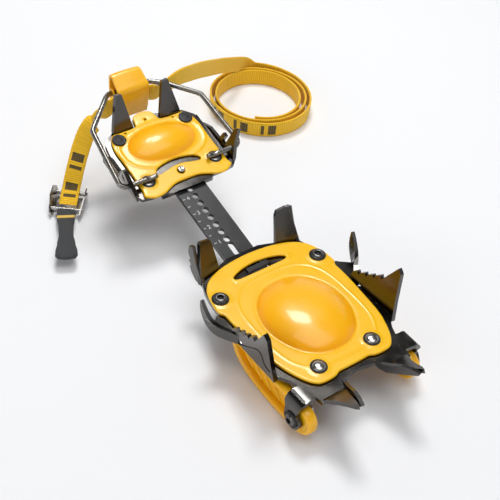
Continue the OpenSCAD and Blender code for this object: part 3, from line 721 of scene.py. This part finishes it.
def tube(name, line, radius, mat, sides=16, flatten=None):
    """A round wire along line. flatten gives (scale across, scale thick) for a point of the line."""
    verts, faces = [], []
    w = Vector((0, 0, 1))
    n = len(line)
    for i in range(n):
        along = (line[min(i + 1, n - 1)] - line[max(i - 1, 0)]).normalized()
        w = (w - along * w.dot(along)).normalized()
        u = along.cross(w)
        su, sw = flatten(i, n) if flatten else (1, 1)
        for k in range(sides):
            a = 2 * math.pi * k / sides
            verts.append(line[i] + w * math.cos(a) * radius * sw + u * math.sin(a) * radius * su)
    for i in range(n - 1):
        for k in range(sides):
            a, b = i * sides + k, i * sides + (k + 1) % sides
            faces.append((a, b, b + sides, a + sides))
    faces.append(tuple(reversed(range(sides))))
    faces.append(tuple((n - 1) * sides + k for k in range(sides)))
    return new_mesh(name, verts, faces, mat)


def hammered(i, n):
    """Both ends of the wire are hammered flat just beyond the posts."""
    k = min(i, n - 1 - i)
    d = k * 1.2
    if d < 1.0:
        return 0.86, 0.86
    if 3.5 < d < 7.5:
        return 1.12, 0.72
    return 1.0, 1.0


wire_ob = tube("heel_bail_round_wire", wire_line, 1.9 * MM, wire_steel, 18, hammered)
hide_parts("heel_bail_wire")
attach(wire_ob, "bail")


# ---------------------------------------------------------------- fasteners
def lathe(name, profile, mat, sides=48):
    """Turns (radius, height) in mm about +Z."""
    verts, faces = [], []
    n = len(profile)
    for k in range(sides):
        a = 2 * math.pi * k / sides
        for r, z in profile:
            verts.append((r * math.cos(a) * MM, r * math.sin(a) * MM, z * MM))
    for k in range(sides):
        for i in range(n - 1):
            a, b = k * n + i, ((k + 1) % sides) * n + i
            faces.append((a, b, b + 1, a + 1))
    ob = new_mesh(name, verts, faces, mat)
    ob.data.materials[0] = mat
    bm = bmesh.new()
    bm.from_mesh(ob.data)
    bmesh.ops.remove_doubles(bm, verts=bm.verts, dist=1e-7)
    bmesh.ops.recalc_face_normals(bm, faces=bm.faces)
    bm.to_mesh(ob.data)
    bm.free()
    m = ob.modifiers.new("edge", "BEVEL")
    m.width = 0.12 * MM
    m.segments = 2
    m.limit_method = "ANGLE"
    m.angle_limit = math.radians(35)
    ob = flat(ob)
    shade(ob)
    return ob


def hex_socket(name, radius, top, depth, mat):
    """A six-sided recess lined in near-black painted shade, with a chamfered rim."""
    verts, faces = [], []
    rings = [(radius * 1.10, top + 0.02), (radius, top - 0.25), (radius, top - depth), (0.01, top - depth - 0.3)]
    for r, z in rings:
        for k in range(6):
            a = math.pi / 3 * k + 0.3
            verts.append((r * math.cos(a) * MM, r * math.sin(a) * MM, z * MM))
    for i in range(3):
        for k in range(6):
            a, b = i * 6 + k, i * 6 + (k + 1) % 6
            faces.append((b, a, a + 6, b + 6))
    return new_mesh(name, verts, faces, mat, smooth=False)


def socket_screw(name, head_r, head_h, socket_r, shank, ring_r, head_mat):
    """A button head with a six-sided socket, standing on a ring."""
    parts = []
    deep = head_h - 1.5
    prof = [(0.01, -shank), (2.45, -shank), (2.45, 0.05), (head_r, 0.05), (head_r, 0.35),
            (head_r * 0.93, head_h * 0.55), (head_r * 0.70, head_h * 0.95), (socket_r * 1.35, head_h),
            (socket_r * 1.12, head_h - 0.05), (socket_r * 0.98, head_h - 0.35), (socket_r * 0.98, deep),
            (0.01, deep - 0.25)]
    parts.append(lathe(name + "_head", prof, head_mat))
    parts.append(hex_socket(name + "_socket", socket_r, head_h - 0.02, 1.4, painted_shade_black))
    prof = [(head_r * 0.8, 0.02), (ring_r, 0.02), (ring_r, 0.55), (ring_r - 0.5, 0.95), (head_r * 1.02, 0.85),
            (head_r * 1.0, 0.3), (head_r * 0.8, 0.25)]
    parts.append(lathe(name + "_ring", prof, matt_black))
    return parts


def placed(objs, matrix):
    for o in objs:
        o.data.transform(matrix)
    return objs


def group(name, pieces, stands_for, body):
    """One piece that stands for CAD nodes and rides on their body."""
    ob = join(name, pieces)
    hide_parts(*stands_for)
    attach(ob, body)


pieces = []
for s in (1, -1):
    spin = Matrix.Rotation(0.4 * s, 4, "Z")
    screw = socket_screw("back_screw", 4.7, 2.3, 2.0, 8.8, 5.8, burnished)
    pieces += placed(screw, Matrix.Translation(F(0, 40 * s, 0.3)) @ spin)
group("front_back_screw_pair", pieces, ["front_back_screws"], "front")

pieces = []
for s in (1, -1):
    dome = [(0.01, -7), (3.9, -7), (3.9, -5.9), (2.45, -5.8), (2.45, 0.3), (4.35, 0.3), (4.35, 0.6)]
    dome += [(4.35 * math.cos(a), 0.6 + 1.7 * math.sin(a)) for a in [math.pi / 2 * k / 8 for k in range(1, 8)]]
    dome += [(0.01, 2.3)]
    pieces += placed([lathe("front_rivet", dome, bright_steel)], Matrix.Translation(F(79, 21.4 * s, 0.3)))
group("front_rivet_pair", pieces, ["front_rivets"], "front")
pieces = []
for s in (1, -1):
    prof = [(4.2, 0.02), (5.6, 0.02), (5.6, 0.5), (5.2, 0.85), (4.5, 0.8), (4.2, 0.4), (4.2, 0.02)]
    pieces += placed([lathe("front_ring", prof, matt_black)], Matrix.Translation(F(79, 21.4 * s, 0.3)))
group("front_rivet_ring_pair", pieces, ["front_rivet_rings"], "front")

tilt = Matrix.Rotation(TILT, 4, "Y")
for name, stands_for, slot_name, mat, x, z, prof in (
        ("heel_rear_screw_pair", "heel_rear_screws", "black_rings", matt_black, HEEL_SCREW_X, 5.75,
         [(0.01, -9), (2.45, -9), (2.45, 0.05), (5.2, 0.05), (5.2, 0.7), (4.7, 1.2), (3.4, 1.32), (3.2, 1.16),
          (2.6, 1.14), (2.3, 1.3), (0.01, 1.34)]),
        ("heel_front_rivet_pair", "heel_front_rivets", "bright_rivets", bright_steel, HEEL_RIVET_X, 5.55,
         [(0.01, -7), (3.9, -7), (3.9, -6), (2.45, -5.9), (2.45, 0.3), (3.7, 0.3), (3.5, 0.62), (2.4, 0.85),
          (0.01, 0.95)]),
        ("heel_washer_pair", "heel_rivet_washers", "black_rings", matt_black, HEEL_RIVET_X, 5.5,
         [(2.6, 0.02), (5.3, 0.02), (5.3, 0.35), (4.9, 0.6), (3.8, 0.55), (2.6, 0.4)])):
    pieces = []
    for s in (1, -1):
        pieces += placed([lathe(name, prof, mat)], Matrix.Translation(H(x, 28 * s, z)) @ tilt)
    group(name, pieces, [stands_for], "heel")
prof = [(0.01, 0.3), (2.3, 0.3), (2.3, 6.2), (2.6, 6.3), (2.6, 6.8), (2.1, 7.4), (1.5, 7.5), (1.3, 7.25),
        (0.01, 7.2)]
pieces = placed([lathe("lock_pin_turned", prof, bright_steel, 32)], Matrix.Translation(H(LOCK_X, -1, 0)) @ tilt)
group("lock_pin_head", pieces, ["lock_pin"], "lock")

# a fine line is engraved on each blade's outer face, along the teeth and down to the frame; a thin near-black tube
# paints the shade in its groove
lines = []
c8, s8 = math.cos(math.radians(8)), math.sin(math.radians(8))
for s in (1, -1):
    marks_xh = ((33.4, 2.2), (37, 3.4), (41, 6), (48, 11.6), (54, 16.2), (57.2, 16.8), (59.6, 14.6), (61, 10.4),
                (63.2, 8.2), (67.6, 7.4))
    line = catmull([F(x, s * (46 + 3.0 * c8 + h * s8), -5.5 - 3.0 * s8 + h * c8) for x, h in marks_xh], 6)
    lines.append(tube("contour", even(line, 0.8 * MM), 0.34 * MM, painted_shade_black, 8))
contour = join("blade_contour_lines", lines)
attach(contour, "front")

# each bracket is a tab of the sheet that bends down over the edge to a waist and a round eye
tabs = []
stops = [(34.5, -3.95, 83.0, 95.4), (39, -3.95, 82.8, 95.6), (42.7, -3.95, 82.4, 96.0)]
for k in range(1, 8):
    a = math.pi / 2 * k / 8
    stops.append((42.7 + 5.2 * math.sin(a), -9.15 + 5.2 * math.cos(a), 82.2 + 0.4 * k / 8, 96.4 - 0.2 * k / 8))
stops += [(47.9, -9.15, 82.8, 96.0), (47.9, -11, 83.3, 95.0), (47.9, -12.8, 83.8, 94.3), (47.9, -14.4, 83.9, 94.5),
          (47.9, -16, 83.8, 95.8), (47.9, -17.4, 83.7, 97.6)]
for k in range(0, 13):
    a = math.pi / 2 * k / 12
    eye = max(7.3 * math.cos(a), 0.5)
    stops.append((47.9, -19 - 7.3 * math.sin(a), 91 - eye, 91 + eye))
for s in (1, -1):
    verts, faces, cols_t = [], [], 13
    for y, z, x0, x1 in stops:
        for j in range(cols_t):
            verts.append(F(x0 + (x1 - x0) * j / (cols_t - 1), y * s, z))
    for i in range(len(stops) - 1):
        for j in range(cols_t - 1):
            a = i * cols_t + j
            face = (a, a + 1, a + cols_t + 1, a + cols_t)
            faces.append(face if s > 0 else tuple(reversed(face)))
    tab = new_mesh("bracket_tab", verts, faces, black_steel)
    m = tab.modifiers.new("sheet", "SOLIDIFY")
    m.thickness = 3.0 * MM
    m.offset = 0
    tab = flat(tab)
    bevel(tab, 0.5, 3, 40)
    tab = flat(tab)
    tabs.append(tab)
bracket = join("toe_bracket_tabs", tabs)
shade(bracket)
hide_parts("toe_brackets")
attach(bracket, "front")

pieces = []
for s in (1, -1):
    m = Matrix.Translation(F(91, 49.45 * s, -19)) @ Matrix.Rotation(-math.pi / 2 * s, 4, "X")
    pieces += placed(socket_screw("basket_bolt", 4.5, 2.4, 1.9, 14.4, 5.9, burnished), m)
group("basket_bolt_pair", pieces, ["basket_bolts"], "front")

# ---------------------------------------------------------------- heel lever, a moulded shell
profile = [(-151.0, -6.6), (-151.2, -1), (-151.7, 6), (-152.8, 12.6), (-153.6, 16.2), (-155.2, 17.9),
           (-158.6, 19.3), (-162.8, 21.2), (-165.9, 22.3), (-168.4, 21.6), (-169.6, 19), (-168.6, 13),
           (-166.6, 6), (-163.6, -1.6), (-160.4, -6.6)]
line = even([Vector(v) for v in catmull([Vector((x, 0, z)) for x, z in profile], 8)], 0.9)
rows = len(line)
cols = 17
verts, faces = [], []
for i, p in enumerate(line):
    t = i / (rows - 1)
    if t < 0.36:
        half_w = 13.0
    elif t < 0.62:
        half_w = 13.0 - 1.4 * (t - 0.36) / 0.26
    else:
        half_w = 11.6 - 0.4 * (t - 0.62) / 0.38
    for j in range(cols):
        y = -half_w + 2 * half_w * j / (cols - 1)
        crown = 0.5 * (1 - (y / half_w) ** 2)
        lift = crown if 0.25 < t < 0.72 else crown * 0.4
        verts.append(H(p.x - (lift * 0.3), y, p.z + lift))
for i in range(rows - 1):
    for j in range(cols - 1):
        a = i * cols + j
        faces.append((a, a + cols, a + cols + 1, a + 1))
lever = new_mesh("heel_lever_shell", verts, faces, moulded_yellow)
m = lever.modifiers.new("wall", "SOLIDIFY")
m.thickness = 2.1 * MM
m.offset = 0
lever = flat(lever)
lever = join("heel_lever_moulding", [lever])
bevel(lever, 0.75, 3, 40)
lever = flat(lever)
shade(lever)
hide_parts("heel_lever")
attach(lever, "lever")


# ---------------------------------------------------------------- toe basket
def prism(name, loop_mm, y0, y1, mat, edge=0.6):
    """A plate standing in X and Z between two values of y, with rounded edges, in the front section's frame."""
    lo, hi = min(y0, y1), max(y0, y1)
    ob = outline_curve(name, [loop_mm], hi - lo, min(edge, (hi - lo) * 0.45))
    ob = flat(ob)
    ob.data.materials.clear()
    ob.data.materials.append(mat)
    stand = Matrix.Rotation(math.pi / 2, 4, "X")
    ob.data.transform(Matrix.Translation(F(0, (lo + hi) / 2, 0)) @ stand)
    return ob


arm_loop = [(p.x, p.y) for p in catmull([Vector((x, z, 0)) for x, z in (
    (25, -9.4), (36, -9.2), (52, -9.2), (68, -9.4), (80, -9.9), (90, -10.0), (97.4, -10.6), (102.4, -14.4),
    (104, -19.6), (102.6, -25.4), (98.4, -30), (92, -32.4), (84, -33.2), (74, -33.8), (62, -33.7), (50, -32.7),
    (40, -30.6), (32, -27.5), (26, -23.2), (22.6, -18.4), (21.3, -14.2), (22.2, -10.8))], 6, closed=True)]


def inset(loop, by):
    """The same loop moved inwards by about by mm."""
    n = len(loop)
    area = sum(loop[i][0] * loop[(i + 1) % n][1] - loop[(i + 1) % n][0] * loop[i][1] for i in range(n))
    sign = 1 if area > 0 else -1
    out = []
    for i in range(n):
        (x0, z0), (x1, z1) = loop[i - 1], loop[(i + 1) % n]
        dx, dz = x1 - x0, z1 - z0
        d = math.hypot(dx, dz)
        out.append((loop[i][0] - sign * dz / d * by, loop[i][1] + sign * dx / d * by))
    return out


def closed_tube(name, loop_mm, y_mm, half_w, half_t, mat, sides=14):
    """A rim of rounded section along a closed loop standing in X and Z: half_w across y, half_t in the plane."""
    pts = [F(x, y_mm, z) for x, z in loop_mm]
    n = len(pts)
    verts, faces = [], []
    across = Vector((0, 1, 0))
    for i in range(n):
        along = (pts[(i + 1) % n] - pts[i - 1]).normalized()
        u = along.cross(across)
        for k in range(sides):
            a = 2 * math.pi * k / sides
            c, s = math.cos(a), math.sin(a)
            pw = 0.7
            verts.append(pts[i] + across * math.copysign(abs(c) ** pw, c) * half_w * MM
                         + u * math.copysign(abs(s) ** pw, s) * half_t * MM)
    for i in range(n):
        for k in range(sides):
            a, b = i * sides + k, i * sides + (k + 1) % sides
            c, d = ((i + 1) % n) * sides + (k + 1) % sides, ((i + 1) % n) * sides + k
            faces.append((a, d, c, b))
    return new_mesh(name, verts, faces, mat)


basket = []
arm_even = [(p.x, p.z) for p in even([Vector((x, 0, z)) for x, z in arm_loop + arm_loop[:1]], 2.0)][:-1]
for s in (1, -1):
    basket.append(closed_tube("rim", inset(arm_even, 2.3), 41.8 * s, 3.8, 2.3, moulded_yellow))
    basket.append(prism("web", inset(arm_even, 1.2), 38.4 * s, 41.2 * s, moulded_yellow, 0.3))
    # soft raised strokes slant across the recess of the arm
    for x0, z0, x1, z1 in ((33, -14, 41, -25), (43, -14, 51, -27), (53, -15, 61, -28), (63, -15, 70, -28)):
        stroke = even([F(x0, 41.0 * s, z0), F(x0 * 0.6 + x1 * 0.4 - 1.5, 41.3 * s, z0 * 0.5 + z1 * 0.5),
                       F(x1, 41.0 * s, z1)], 1.0 * MM)
        basket.append(tube("stroke", stroke, 1.5 * MM, moulded_yellow, 12, lambda i, n: (0.75, 0.75)))
    boss = circle_loop(91, -20, 9.4, 44)
    basket.append(prism("boss", boss, 38.2 * s, 45.4 * s, moulded_yellow, 0.9))
# the band that crosses below the frame
band_line = catmull([F(26.5, 43.6, -13.5), F(25.6, 39, -13.5), F(26.8, 24, -13.6), F(27.4, 8, -13.6),
                     F(27.4, -8, -13.6), F(26.8, -24, -13.6), F(25.6, -39, -13.5), F(26.5, -43.6, -13.5)], 8)
n = len(band_line)
verts, faces, sides = [], [], 16
for i, p in enumerate(band_line):
    along = (band_line[min(i + 1, n - 1)] - band_line[max(i - 1, 0)]).normalized()
    w = Vector((0.25, 0, 1))
    w = (w - along * w.dot(along)).normalized()
    u = along.cross(w)
    for k in range(sides):
        a = 2 * math.pi * k / sides
        c, sn = math.cos(a), math.sin(a)
        verts.append(p + w * math.copysign(abs(c) ** 0.6, c) * 5.6 * MM
                     + u * math.copysign(abs(sn) ** 0.6, sn) * 3.0 * MM)
for i in range(n - 1):
    for k in range(sides):
        a, b = i * sides + k, i * sides + (k + 1) % sides
        faces.append((a, b, b + sides, a + sides))
faces.append(tuple(range(sides)))
faces.append(tuple((n - 1) * sides + k for k in reversed(range(sides))))
basket.append(new_mesh("band", verts, faces, moulded_yellow))
basket = join("toe_basket_moulding", basket)
bm = bmesh.new()
bm.from_mesh(basket.data)
bmesh.ops.recalc_face_normals(bm, faces=bm.faces)
bm.to_mesh(basket.data)
bm.free()
shade(basket)
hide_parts("toe_basket")
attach(basket, "basket")

# ---------------------------------------------------------------- size scale on the bar
scale_paint = material("scale_engraving", (0.42, 0.42, 0.41), 0.5, 0.7)
surface_detail(scale_paint, 300, 0.01, 0.4, 0.6, tint=0.3, fine=2500)
marks = []
TICK_Y = -11.4
on_bar = Matrix.Translation(H(0, 0, 0)) @ tilt
for i in range(13):
    x = FIRST_HOLE - HOLE_PITCH * i
    vs = [on_bar @ (Vector((x + a, TICK_Y + b, 0.035)) * MM)
          for a, b in ((-0.22, 0), (0.22, 0), (0.22, 1.9), (-0.22, 1.9))]
    marks.append(new_mesh("tick", vs, [(0, 1, 2, 3)], scale_paint, smooth=False))
    if i % 2 == 0 and i < 12:
        cu = bpy.data.curves.new("digit", "FONT")
        cu.body = str(i // 2 + 1)
        cu.size = 4.6 * MM
        cu.extrude = 0.03 * MM
        cu.align_x = "CENTER"
        cu.align_y = "CENTER"
        ob = bpy.data.objects.new("digit", cu)
        scene.collection.objects.link(ob)
        ob = flat(ob)
        ob.data.materials.clear()
        ob.data.materials.append(scale_paint)
        ob.data.transform(on_bar @ Matrix.Translation(Vector((x + 0.2, -7.0, 0.03)) * MM)
                          @ Matrix.Rotation(math.pi / 2, 4, "Z"))
        marks.append(ob)
marks = join("bar_size_scale", marks)
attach(marks, "bar")

# ---------------------------------------------------------------- pull tab
BUCKLE = Vector((-132.7, -61, 2.9))
BT = math.radians(-39.8)
at_buckle = Matrix.Translation(BUCKLE * MM) @ Matrix.Rotation(BT, 4, "Z")
at_tab = (at_buckle @ Matrix.Translation(Vector((9.5, 0, 2.4)) * MM) @ Matrix.Rotation(math.radians(12), 4, "Z")
          @ Matrix.Rotation(math.radians(-4), 4, "Y"))


def tab_width(x):
    """Half the tab's width, in mm, at a distance from its root."""
    pts = [(1.0, 6.2), (4.7, 6.6), (12, 6.5), (22, 5.4), (32, 5.2), (42, 6.4), (50, 7.7), (54, 7.8),
           (56.4, 6.6), (57.2, 4.6)]
    for (a, wa), (b, wb) in zip(pts, pts[1:]):
        if x <= b:
            t = (x - a) / (b - a)
            t = t * t * (3 - 2 * t)
            return wa + (wb - wa) * max(0, t)
    return pts[-1][1]


verts, faces, us, vs_ = [], [], [], []
steps = 76
prof_k = [(-1, -0.4), (-0.97, -0.9), (-0.5, -1), (0, -1), (0.5, -1), (0.97, -0.9), (1, -0.4), (1, 0.4), (0.97, 0.9),
          (0.5, 1), (0, 1), (-0.5, 1), (-0.97, 0.9), (-1, 0.4)]
m_k = len(prof_k)
for i in range(steps + 1):
    x = 1.0 + 56.2 * i / steps
    sag = 0.5 * math.sin(x / 57 * math.pi) + 0.9 * (x / 57) ** 2 * math.sin(x / 9.0) * 0.35
    thick = 1.25 if x < 16 else 1.15
    cup = 0.5 * (x / 57) ** 2
    for a, b in prof_k:
        wv = tab_width(x)
        p = Vector((x, a * wv, b * thick + sag + cup * a * a)) * MM
        verts.append(at_tab @ p)
        us.append(x * MM)
        vs_.append(a * wv * MM)
for i in range(steps):
    for k in range(m_k):
        a, b = i * m_k + k, i * m_k + (k + 1) % m_k
        faces.append((a, b, b + m_k, a + m_k))
faces.append(tuple(reversed(range(m_k))))
faces.append(tuple(steps * m_k + k for k in range(m_k)))
tab = new_mesh("pull_tab_webbing", verts, faces, grey_web)
uv = tab.data.uv_layers.new(name="strap")
for loop in tab.data.loops:
    uv.data[loop.index].uv = (us[loop.vertex_index], vs_[loop.vertex_index])
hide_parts("pull_tab")
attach(tab, "gate")

verts, faces = [], []
cols_b, rows_b = 13, 5
for i in range(rows_b):
    for j in range(cols_b):
        y = -6.4 + 12.8 * j / (cols_b - 1)
        x = 9.4 + 3.2 * i / (rows_b - 1)
        edge = 0.25 if i in (0, rows_b - 1) or j in (0, cols_b - 1) else 0.55
        verts.append(at_tab @ (Vector((x, y, 1.25 + 0.25 + edge)) * MM))
for i in range(rows_b - 1):
    for j in range(cols_b - 1):
        a = i * cols_b + j
        faces.append((a, a + cols_b, a + cols_b + 1, a + 1))
band = new_mesh("pull_tab_stitching", verts, faces, stitch_yellow)
m = band.modifiers.new("thick", "SOLIDIFY")
m.thickness = 0.6 * MM
band = flat(band)
uv = band.data.uv_layers.get("strap") or band.data.uv_layers.new(name="strap")
back = at_tab.inverted()
for loop in band.data.loops:
    q = back @ band.data.vertices[loop.vertex_index].co
    uv.data[loop.index].uv = (q.x, q.y)
shade(band)
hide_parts("pull_tab_band")
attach(band, "gate")

# ---------------------------------------------------------------- floor, light and surroundings
floor_mat = material("paper", (0.86, 0.865, 0.875), 0.75)
surface_detail(floor_mat, 3.0, 0.02, 0.7, 0.8, tint=0.006, fine=90)
floor = new_mesh("paper_floor", [(-6, -6, 0), (6, -6, 0), (6, 6, 0), (-6, 6, 0)], [(0, 1, 2, 3)],
                 floor_mat, smooth=False)


def area(name, place, target, size, watts, size_y=None):
    li = bpy.data.lights.new(name, "AREA")
    li.shape = "RECTANGLE"
    li.size = size
    li.size_y = size_y or size
    li.energy = watts
    ob = bpy.data.objects.new(name, li)
    scene.collection.objects.link(ob)
    ob.location = place
    ob.rotation_euler = (Vector(target) - Vector(place)).to_track_quat("-Z", "Y").to_euler()


area("key", (-0.60, 0.36, 1.45), (0.05, 0, 0.04), 0.50, 13, 0.40)
area("fill", (0.35, 0.1, 2.0), (0, 0, 0), 1.6, 20)
area("side", (0.5, -1.6, 0.75), (0, 0, 0.03), 1.0, 5, 0.5)
world = bpy.data.worlds.new("studio")
scene.world = world
world.use_nodes = True
wt = world.node_tree
bg = wt.nodes["Background"]
co = wt.nodes.new("ShaderNodeTexCoord")
sp = wt.nodes.new("ShaderNodeSeparateXYZ")
wt.links.new(co.outputs["Generated"], sp.inputs["Vector"])
ramp = wt.nodes.new("ShaderNodeValToRGB")
ramp.color_ramp.elements[0].position = 0.0
ramp.color_ramp.elements[0].color = (1.15, 1.16, 1.2, 1)
ramp.color_ramp.elements[1].position = 0.62
ramp.color_ramp.elements[1].color = (0.10, 0.10, 0.105, 1)
mid = ramp.color_ramp.elements.new(0.30)
mid.color = (0.95, 0.96, 1.0, 1)
wt.links.new(sp.outputs["Z"], ramp.inputs["Fac"])
wt.links.new(ramp.outputs["Color"], bg.inputs["Color"])
bg.inputs["Strength"].default_value = 0.72
